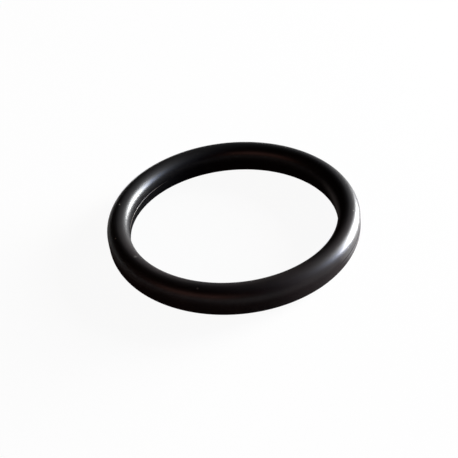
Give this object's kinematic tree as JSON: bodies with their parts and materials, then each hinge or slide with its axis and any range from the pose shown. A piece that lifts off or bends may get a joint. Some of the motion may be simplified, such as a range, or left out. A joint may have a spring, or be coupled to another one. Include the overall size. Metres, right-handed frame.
{
  "type": "o-ring",
  "caption": "Moulded rubber ring seal with a tall oval section, straight flanks, round crowns and a thin flash line round its middle.",
  "frame": {"origin": "centre of the ring, on the parting plane half way up its section", "axes": "+Z along the ring's axis; the ring is the same all the way round"},
  "size_m": [0.0792, 0.0792, 0.01],
  "materials": {
    "black_rubber": "satin, as moulded"
  },
  "bodies": {
    "root": {"o_ring": "black_rubber"}
  },
  "joints": []
}
